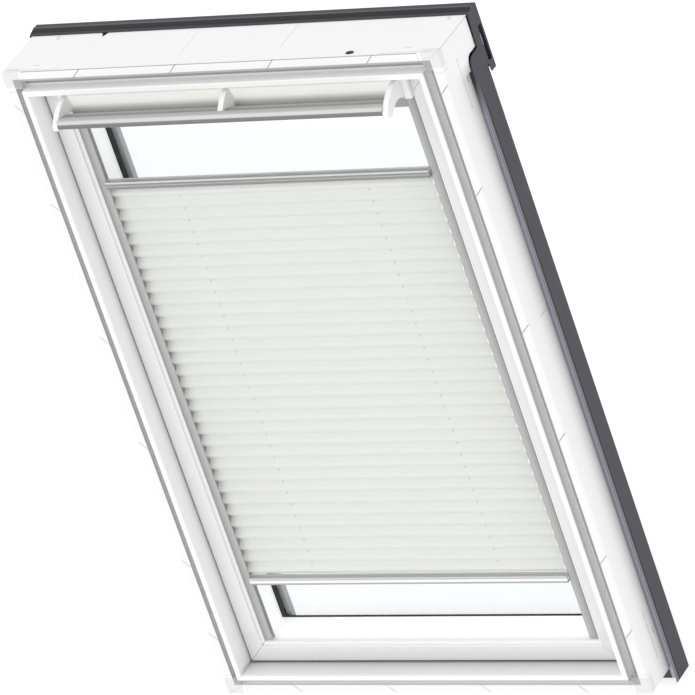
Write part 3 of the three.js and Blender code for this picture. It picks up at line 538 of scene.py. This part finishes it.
# %% Flap finish
CREAM = (0.95, 0.95, 0.90, 1)
# Painted shade on the flap's wall and lip, and painted light on its upper wall.
FLAP_WALL_DEPTHS = (2, 6)
FLAP_WALL_TONES = [(506, 0.36), (511, 0.48), (515, 0.63), (519, 0.78), (530, 0.95), (540, 1.0)]
FLAP_LIP_TONES = [(-31, 0.22), (-20, 0.3), (-8, 0.5), (3, 0.5)]
FLAP_GLOWS = [(506, 0), (511, 0.06), (516, 0.2), (521, 0.33), (540, 0.28)]


def flap_painted_shade(at):
    """Painted shade, darker towards the foot of the flap and darkest on the lip behind the bar."""
    on_wall = rising(at.depth, *FLAP_WALL_DEPTHS)
    return chosen(on_wall, steps(at.depth, FLAP_LIP_TONES), steps(at.height, FLAP_WALL_TONES))


def flap_painted_light(at):
    """Painted light on the upper wall of the flap, for daylight through the thin wall."""
    return rising(at.depth, *FLAP_WALL_DEPTHS) * steps(at.height, FLAP_GLOWS)


moulded_plastic("cream_plastic", CREAM, 0.45, FINE_BEAD, FINE_HEIGHT, flap_painted_shade, flap_painted_light)

# %% [markdown]
# ## Powder coat and zinc
#
# The covers are sheet metal with a dark grey powder coat, which is slightly grainy and chalky.
# Light and dark lines along the folded front edge of the side covers are painted highlights and
# painted shade. Real folds could make the lines with light, but each is only two millimetres wide,
# so the tone paints them. The top cover gets a painted highlight along its ridge and painted
# shade before it, and the side cover a small painted glint. The hinges are zinc plated, with
# blotches where the bath left crystals.

# %% Powder coat and zinc finishes
COAT_COLOUR = (0.052, 0.050, 0.060, 1)
CHALK_DRIFT = 0.15
CHALK_GAIN = 1.15
COAT_GRAIN = 0.0009
COAT_HEIGHT = 0.00004
ZINC_CRYSTALS = 320.0


def powder_coat(name, colour, tone_of):
    """A dark powder coat, chalkier in patches."""
    shader, place = new_finish(name)
    drift = noise(place, CHALK_DRIFT)
    paint(shader, place, blended(drift, colour, scaled(colour, CHALK_GAIN)), tone_of)
    feed(
        shader,
        Roughness=0.42 + drift * 0.15,
        Specular_IOR_Level=0.25,
        Normal=rough_surface(noise(place, COAT_GRAIN, 1.0), COAT_HEIGHT),
    )


def zinc_plate(name):
    """Zinc plating with a blotch for each crystal."""
    shader, place = new_finish(name)
    blotch = place.node("ShaderNodeTexVoronoi", {}, {"Vector": place, "Scale": ZINC_CRYSTALS})
    paint(shader, place, blended(blotch, grey(0.42), grey(0.62, (1, 0.99, 0.96))))
    feed(shader, Metallic=0.9, Roughness=0.28 + blotch * 0.25)


zinc_plate("hinge_steel")

# %% Painted highlights and shade on the covers
# Painted shade and a painted highlight on the top cover.
TOP_COVER_TONES = [(107.0, 0.3), (123.0, 0.35), (124.5, 0.95), (138.0, 0.95)]
RIDGE_DEPTHS = (123.2, 126.2)
RIDGE_HIGHLIGHT = 1.2
SIDE_COVER_INSET = 4.0
EDGE_FADE = (430, 490)
# Painted light and shade along the side covers' folded edge.
EDGE_TONES = [(72.6, 7.0), (73.2, 7.0), (73.8, 2.4), (75.9, 2.4), (76.7, 4.3), (78.7, 4.1)]
EDGE_TONES += [(79.4, 1.7), (81.3, 1.6), (82.0, 0.2), (84.0, 0.2), (84.8, 1.0)]
# A painted glint on the side cover.
GLINT_DEPTHS = (123.7, 126.2)
GLINT_HEIGHTS = (527, 544)
GLINT_GAIN = 20.0


def cover_painted_light_and_shade(at):
    """Painted highlight on the top cover's ridge, painted lines along the side edges, a painted
    glint.
    """
    on_top = rising(at.height, HALF_HEIGHT - 0.5, HALF_HEIGHT)
    ridge = within(at.depth, *RIDGE_DEPTHS, 0.4)
    beside = 1 - rising(at.from_side, SIDE_COVER_INSET, SIDE_COVER_INSET + 0.5)
    on_edge = beside * (1 - rising(at.height, *EDGE_FADE))
    painted_glint = within(at.depth, *GLINT_DEPTHS, 0.4) * within(at.height, *GLINT_HEIGHTS, 1)
    top = steps(at.depth, TOP_COVER_TONES) + ridge * RIDGE_HIGHLIGHT
    side = chosen(on_edge, 1.0, steps(at.depth, EDGE_TONES))
    return chosen(on_top, side, top) + painted_glint * beside * GLINT_GAIN


powder_coat("cover_metal", COAT_COLOUR, cover_painted_light_and_shade)

# %% [markdown]
# ## Drawn aluminium
#
# Rails and blind bars are drawn aluminium: the die leaves fine lines along their length. Noise
# that is stretched along one axis gives such lines, and the axis differs between an upright rail
# and a level bar. The bars also have ribs and grooves, too fine for solids with sound walls, so
# the tone paints them at their distance below the bar's top, as painted highlights on the ribs
# and painted shade in the grooves and on the bars' tops. The rails get painted shade towards the
# sash and a painted glow in their channels.

# %% Drawn aluminium finish
DIE_LINE = 0.0008
DIE_HEIGHT = 0.00003
LINE_STRETCH = 0.01


def drawn_aluminium(name, colour, metallic, roughness, along, tone_of, glow_of=None):
    """Aluminium with the die's lines along one axis."""
    shader, place = new_finish(name)
    factors = tuple(LINE_STRETCH if axis == along else 1 for axis in "xyz")
    lines = noise(stretched(place, factors), DIE_LINE, 2.0)
    paint(shader, place, blended(lines, scaled(colour, 0.9), colour), tone_of, glow_of)
    feed(
        shader,
        Metallic=metallic,
        Roughness=roughness + lines * 0.12,
        Normal=rough_surface(lines, DIE_HEIGHT),
    )


# %% Painted shade and highlights on the rails and the blind's bars
TOP_OF_TOP_BAR = (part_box("blind_top_bar")[1].z - MIDDLE.z) / MM
TOP_OF_BOTTOM_BAR = (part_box("blind_bottom_bar")[1].z - MIDDLE.z) / MM
BARS_HALF_LENGTH = 290.8
BELOW_HEAD_RAIL = (440, 450)
BEFORE_RAILS = (40, 41)
# Painted shade on the rails, and painted highlights and shade on the bars' ribs and tops.
RAIL_TONES = [(83.5, 0.5), (85, 0.68), (88, 0.78), (93, 0.92), (96, 0.98), (99, 0.8)]
UPPER_RIBS = [(0.0, 1.4), (3.6, 1.4), (4.4, 0.6), (6.8, 0.66)]
UPPER_RIBS += [(7.6, 1.1), (8.6, 1.1), (9.4, 0.6), (13.5, 0.52)]
LOWER_RIBS = [(0.0, 1.4), (1.8, 1.3), (3.0, 1.0), (4.6, 1.5)]
LOWER_RIBS += [(6.0, 1.95), (9.2, 1.95), (10.0, 0.84), (13.5, 0.84)]
UPPER_LID_TONES = [(21, 0.75), (26, 0.75), (31, 1.05), (32.6, 1.0), (33.4, 0.45), (34, 0.45)]
LOWER_LID_TONE = 0.95
# Painted light in the rails' channels.
CHANNEL_DEPTHS = (29.7, 36.1)
CHANNEL_INSETS = (84, 85)
CHANNEL_GLOW = 0.12


def aluminium_painted_light_and_shade(at):
    """Painted shade on the rails towards the sash; painted highlights and shade on the bars' ribs.
    """
    on_bars = 1 - rising(abs(at.across), BARS_HALF_LENGTH, BARS_HALF_LENGTH + 0.1)
    on_bars = on_bars * (1 - rising(at.height, *BELOW_HEAD_RAIL))
    on_bars = on_bars * (1 - rising(at.depth, *BEFORE_RAILS))
    upper = rising(at.height, -1, 1)
    below_top = chosen(upper, TOP_OF_BOTTOM_BAR, TOP_OF_TOP_BAR) - at.height
    on_lid = 1 - rising(below_top, 0.1, 0.3)
    lid = chosen(upper, LOWER_LID_TONE, steps(at.depth, UPPER_LID_TONES))
    ribs = chosen(upper, steps(below_top, LOWER_RIBS), steps(below_top, UPPER_RIBS))
    return chosen(on_bars, steps(at.inset, RAIL_TONES), chosen(on_lid, ribs, lid))


def channel_painted_light(at):
    """Painted light inside the rails' channels, which face the cloth."""
    in_channel = within(at.depth, *CHANNEL_DEPTHS, 0.2) * rising(at.inset, *CHANNEL_INSETS)
    return in_channel * CHANNEL_GLOW


drawn_aluminium("grey_aluminium", grey(0.5), 0.2, 0.34, "z", aluminium_painted_light_and_shade, channel_painted_light)

# %% Painted highlight and shade on the control bar
BAR_FRONT_TONES = [(507, 0.16), (508.5, 0.21), (513.8, 0.25)]
BAR_FRONT_TONES += [(514.8, 0.66), (517, 0.78), (522, 0.62)]
BAR_LID_TONES = [(-44, 0.5), (-40, 0.32), (-36, 0.2), (-31, 0.14)]
BAR_LID_HEIGHT = 520.9


def bar_painted_light_and_shade(at):
    """Painted shade on the bar's top and lower half, and a painted highlight on its upper half."""
    on_lid = rising(at.height, BAR_LID_HEIGHT - 0.5, BAR_LID_HEIGHT)
    return chosen(on_lid, steps(at.height, BAR_FRONT_TONES), steps(at.depth, BAR_LID_TONES))


drawn_aluminium("bar_aluminium", grey(0.9), 0.15, 0.3, "x", bar_painted_light_and_shade)

# %% [markdown]
# ## Rubber and glass
#
# Seals are black rubber, dusty in the grooves. The panes are clear float glass, seen against a
# bright room: real refraction would work, but two panes one behind the other need many more
# light bounces. A nearly transparent pale blue shader looks the same on flat glass and stays
# clean. A little more of the blue is kept where the pane is seen at a slant.

# %% Rubber and glass finishes
DUST_GRAIN = 0.01
RUBBER_GRAIN = 0.0006
RUBBER_HEIGHT = 0.00004
PALE_BLUE = (0.80, 0.91, 0.97, 1)
SLANT_BLEND = 0.35
GLASS_CLEAR = 0.05
GLASS_SLANT = 0.12


def black_rubber(name):
    """Black rubber with dust in patches."""
    shader, place = new_finish(name)
    dust = noise(place, DUST_GRAIN)
    paint(shader, place, blended(dust, grey(0.012), grey(0.03)))
    feed(
        shader,
        Roughness=0.6 + dust * 0.25,
        Normal=rough_surface(noise(place, RUBBER_GRAIN), RUBBER_HEIGHT),
    )


def float_glass(name):
    """Almost clear glass, bluer where it is seen at a slant."""
    shader, place = new_finish(name)
    slant = place.node("ShaderNodeLayerWeight", {}, {"Blend": SLANT_BLEND}, 1)
    feed(shader, Base_Color=PALE_BLUE, Roughness=0.02, Alpha=GLASS_CLEAR + slant * GLASS_SLANT)


black_rubber("seal_rubber")
float_glass("pane_glass")

# %% [markdown]
# ## The folds
#
# The cloth's finish has a hole for the cord in every back fold, so the folds have to be known
# first. The blind has 33 pleats, counted in the photo between its two bars, and the room that the
# solid stand-in for the cloth takes up gives their height and depth.

# %% Where the folds lie
PLEATS = 33
CLOTH_GAP = 0.0002
RIDGE_SETBACK = 0.0028
EDGE_ROOM = 0.0002
FOLD_ROUNDING = 0.12

upper_box, lower_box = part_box("fabric_upper"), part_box("fabric_lower")
cloth_front, cloth_back = lower_box[0].y + RIDGE_SETBACK, lower_box[1].y - CLOTH_GAP
cloth_low, cloth_high = lower_box[0].z, upper_box[1].z
cloth_left, cloth_right = lower_box[0].x + EDGE_ROOM, lower_box[1].x - EDGE_ROOM
facet_height = (cloth_high - cloth_low) / (2 * PLEATS)
facet_slant = math.hypot(facet_height, cloth_back - cloth_front)
cloth_middle = cloth_low + PLEATS * facet_height
print("facet", round(facet_height, 5), "high,", round(facet_slant, 5), "along the cloth")

# %% [markdown]
# ## Cloth finish
#
# The blind is a thin, tightly woven off-white cloth that lets some daylight through. A plain
# surface shader would make its folds too dark, because in the real cloth the light that falls on
# the back softens every shadow. So the surface is mixed with a translucent one. The weave is
# two crossed waves, in the cloth's own flat coordinates, so it bends with the folds. The punched
# cord holes are dark dots in the same coordinates, and the left edge gets a painted shadow of the
# rail, in its colour and in the share of light that comes through.

# %% Cloth finish
THREAD_PITCH = 0.0006
THREAD_HEIGHT = 0.00006
WAVE_PERIOD = 0.314  # the period of the wave texture at a scale of 1
SLUB_LENGTH = 0.004
CLOTH_COLOUR = (0.855, 0.86, 0.82, 1)
CLOTH_THROUGH = 0.42
HOLE_ROW = 0.170
HOLE_HALF = 0.0010
HOLE_ROOM = 0.0026
HOLE_LOSS = 0.35
# Painted shadow of the left rail on the cloth.
EDGE_SHADES = [(-291, 0.45), (-285, 0.62), (-277, 0.88), (-268, 1.0)]


def woven_cloth(name):
    """Translucent cloth with a weave, thick threads, cord holes and a painted shadow on the left
    edge.
    """
    shader, place = new_finish(name, "UV")
    threads = [
        place.node(
            "ShaderNodeTexWave",
            {"bands_direction": axis},
            {"Vector": place, "Scale": WAVE_PERIOD / THREAD_PITCH, "Distortion": 0.4},
            1,
        )
        for axis in ("X", "Y")
    ]
    weave = threads[0] * threads[1]
    slub = noise(stretched(place, (0.1, 1, 1)), SLUB_LENGTH)
    colour = blended(slub, scaled(CLOTH_COLOUR, 0.96), CLOTH_COLOUR)
    parts = (place.node("ShaderNodeSeparateXYZ", {}, {0: place}, output) for output in range(2))
    across, along = parts
    beside_row = 1 - rising(abs(abs(across) - HOLE_ROW), HOLE_HALF, HOLE_HALF * 1.4)
    from_fold = along.math("PINGPONG", along, facet_slant)
    hole = beside_row * (1 - rising(from_fold, HOLE_ROOM, HOLE_ROOM * 1.3))
    shade = steps(across * (1 / MM), EDGE_SHADES)
    feed(
        shader,
        Base_Color=toned(colour, shade * (1 - hole * HOLE_LOSS)),
        Roughness=0.85,
        Normal=rough_surface(weave, THREAD_HEIGHT),
        Sheen_Weight=0.15,
    )
    tree = place.tree
    through = place.node("ShaderNodeBsdfTranslucent", {}, {"Color": CLOTH_COLOUR})
    surface = Signal(tree, shader.outputs[0])
    both = place.node("ShaderNodeMixShader", {}, {0: shade * CLOTH_THROUGH, 1: surface, 2: through})
    tree.links.new(both.socket, tree.nodes["Material Output"].inputs["Surface"])


woven_cloth("pleated_cloth")
print("finishes:", ", ".join(sorted(FINISHES)))

# %% [markdown]
# ## Dressing the solid pieces
#
# The record says which material slot each solid piece belongs to, and each slot has a finish of
# the same name. The solids have dead sharp edges, but real profiles are rolled, moulded or
# sanded, so every piece but the panes and the cloth gets a small bevel that catches the light.
# It could be modelled into the piece. A modifier leaves the solid itself as it is and can be taken
# off again.

# %% Smooth shading up to an angle
SHARP_ANGLE = 40
BEVEL_WIDTH = 0.0005
WELD_DISTANCE = 0.00001


def smooth_up_to(angle):
    """A small geometry net that shades faces smooth, and keeps edges sharper than angle."""
    tree = bpy.data.node_groups.new("smooth_up_to_angle", "GeometryNodeTree")
    for way in ("INPUT", "OUTPUT"):
        tree.interface.new_socket("Geometry", in_out=way, socket_type="NodeSocketGeometry")
    start, end = tree.nodes.new("NodeGroupInput"), tree.nodes.new("NodeGroupOutput")
    edge_angle = tree.nodes.new("GeometryNodeInputMeshEdgeAngle")
    flat_enough = tree.nodes.new("FunctionNodeCompare")
    flat_enough.operation = "LESS_THAN"
    flat_enough.inputs[1].default_value = math.radians(angle)
    faces = tree.nodes.new("GeometryNodeSetShadeSmooth")
    edges = tree.nodes.new("GeometryNodeSetShadeSmooth")
    faces.domain, edges.domain = "FACE", "EDGE"
    for source, target in (
        (start.outputs[0], faces.inputs["Geometry"]),
        (faces.outputs[0], edges.inputs["Geometry"]),
        (edge_angle.outputs["Unsigned Angle"], flat_enough.inputs[0]),
        (flat_enough.outputs[0], edges.inputs["Shade Smooth"]),
        (edges.outputs[0], end.inputs[0]),
    ):
        tree.links.new(source, target)
    return tree


SMOOTHING = smooth_up_to(SHARP_ANGLE)


def soften(piece):
    """Gives a solid small bevels and smooth shading, with modifiers only."""
    weld = piece.modifiers.new("weld", "WELD")
    weld.merge_threshold = WELD_DISTANCE
    bevel = piece.modifiers.new("bevel", "BEVEL")
    bevel.width = BEVEL_WIDTH
    bevel.segments = 2
    bevel.limit_method = "ANGLE"
    bevel.angle_limit = math.radians(SHARP_ANGLE)
    piece.modifiers.new("smooth", "NODES").node_group = SMOOTHING
    weighted = piece.modifiers.new("normals", "WEIGHTED_NORMAL")
    weighted.keep_sharp = True


# %% Finishes and soft edges on every solid
for part in frame["record"]["subparts"]:
    node = frame["nodes"][part["node"]]
    node.data.materials.clear()
    node.data.materials.append(FINISHES[part["material_slot"]])
    if part["material_slot"] not in ("pane_glass", "pleated_cloth"):
        soften(node)
print(len(frame["nodes"]), "solid pieces dressed")

# %% [markdown]
# ## The pleated cloth
#
# The cloth is one sheet, folded to and fro about every eleven millimetres. It could be one mesh,
# but the blind's bars slide, and then every pleat has to close by the same share. Each pleat is
# therefore its own strip from back fold to back fold. The blend between two bodies follows a
# smooth step, so for each strip a start and an end are worked out where the smooth step has just
# the share that belongs to the strip's two edges; they are not applied to the strips here.

# %% Shares of the smooth step
BISECTIONS = 40


def step_place(share):
    """The place from 0 to 1 where the smooth step 3t^2 - 2t^3 reaches share."""
    low, high = 0.0, 1.0
    for _ in range(BISECTIONS):
        middle = (low + high) / 2
        if middle * middle * (3 - 2 * middle) < share:
            low = middle
        else:
            high = middle
    return (low + high) / 2


def blend_ends(edge_a, edge_b, share_a, share_b):
    """Heights where a blend starts and ends, so that the two edges have the two shares."""
    place_a, place_b = step_place(share_a), step_place(share_b)
    scale = (edge_b - edge_a) / (place_b - place_a)
    start = edge_a - place_a * scale
    return start, start + scale


# %% One strip of cloth
ROWS_PER_FACET = 7
COLUMNS = 48
RIPPLE = 0.00025
RIPPLES_PER_METRE = 9
ripples = random.Random(7)


def fold_depth(along):
    """Depth of the cloth between a ridge, at 0, and a back fold, at 1, with a rounded ridge."""
    rise = math.sqrt(along * along + FOLD_ROUNDING**2) - FOLD_ROUNDING
    whole = math.sqrt(1 + FOLD_ROUNDING**2) - FOLD_ROUNDING
    return cloth_front + (cloth_back - cloth_front) * rise / whole


def strip_rows(first_fold, last_fold):
    """Each row's height, depth, place along the cloth and share of the way to a back fold."""
    rows = []
    for step in range((last_fold - first_fold) * ROWS_PER_FACET + 1):
        fold = first_fold + step / ROWS_PER_FACET
        from_ridge = abs(fold % 2 - 1)
        height, along = cloth_low + fold * facet_height, fold * facet_slant
        rows.append((height, fold_depth(from_ridge), along, from_ridge))
    return rows


def cloth_strip(name, first_fold, last_fold):
    """A strip of the cloth between two folds, counted from the bottom bar."""
    rows = strip_rows(first_fold, last_fold)
    phase, drift = ripples.uniform(0, math.tau), ripples.uniform(0.6, 1.4)
    mesh = bmesh.new()
    flat = mesh.loops.layers.uv.new("cloth")
    grid = []
    for height, depth, along, from_ridge in rows:
        line = []
        for column in range(COLUMNS + 1):
            x = cloth_left + (cloth_right - cloth_left) * column / COLUMNS
            wave = math.sin(RIPPLES_PER_METRE * drift * x * math.tau + phase)
            ripple = RIPPLE * (1 - from_ridge) * from_ridge * 4 * wave
            line.append((mesh.verts.new((x, depth + ripple, height)), (x, along)))
        grid.append(line)
    for lower, upper in zip(grid, grid[1:]):
        for column in range(COLUMNS):
            corners = (lower[column], lower[column + 1], upper[column + 1], upper[column])
            face = mesh.faces.new([corner[0] for corner in corners])
            face.smooth = True
            for loop, corner in zip(face.loops, corners):
                loop[flat].uv = corner[1]
    data = bpy.data.meshes.new(name)
    mesh.to_mesh(data)
    mesh.free()
    strip = bpy.data.objects.new(name, data)
    scene.collection.objects.link(strip)
    data.materials.append(FINISHES["pleated_cloth"])
    return strip


# %% Make the strips
def strip_ends(first, last):
    """Folds at which the cloth is parted, from first to last: the back folds and both ends."""
    return [first] + [fold for fold in range(first + 1, last) if fold % 2 == 0] + [last]


def hang_half(half, ends, moving_height):
    """The strips of one half. moving_height is where the cloth is fixed to the sliding bar."""
    strips = []
    for number, (first, last) in enumerate(zip(ends, ends[1:]), 1):
        strip = cloth_strip(f"cloth_{half}_{number:02d}", first, last)
        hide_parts(f"fabric_{half}")
        low, high = cloth_low + first * facet_height, cloth_low + last * facet_height
        shares = [(edge - cloth_middle) / (moving_height - cloth_middle) for edge in (low, high)]
        start, end = blend_ends(low, high, *shares)
        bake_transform(strip)
        (last - first) * facet_slant
        strips.append(strip)
    return strips


lower_strips = hang_half("lower", strip_ends(0, PLEATS), cloth_low)
upper_strips = hang_half("upper", strip_ends(PLEATS, 2 * PLEATS), cloth_high)
print(len(lower_strips) + len(upper_strips), "strips of cloth")

# %% [markdown]
# ## The floor
#
# The window stands on a plain pale floor that is as light as the backdrop, so that only a breath
# of shadow shows where it stands. A photographer's paper roll curls up behind the object. Here one
# very large flat sheet is enough, because it fills the picture up to its far edge. Studios light
# such a floor from below; most of its brightness is therefore a glow of its own.

# %% Floor
FLOOR_HALF = 30.0
FLOOR_COLOUR = grey(0.28)
FLOOR_GLOW = 0.80

floor_mesh = bpy.data.meshes.new("floor")
corners = [(-1, -1), (1, -1), (1, 1), (-1, 1)]
places = [(x * FLOOR_HALF, y * FLOOR_HALF, cad_lowest.z) for x, y in corners]
floor_mesh.from_pydata(places, [], [(0, 1, 2, 3)])
floor = bpy.data.objects.new("floor", floor_mesh)
scene.collection.objects.link(floor)
floor_shader, _ = new_finish("floor_paper")
feed(floor_shader, Base_Color=FLOOR_COLOUR, Roughness=0.9)
feed(floor_shader, Emission_Color=grey(1), Emission_Strength=FLOOR_GLOW)
floor_mesh.materials.append(FINISHES["floor_paper"])
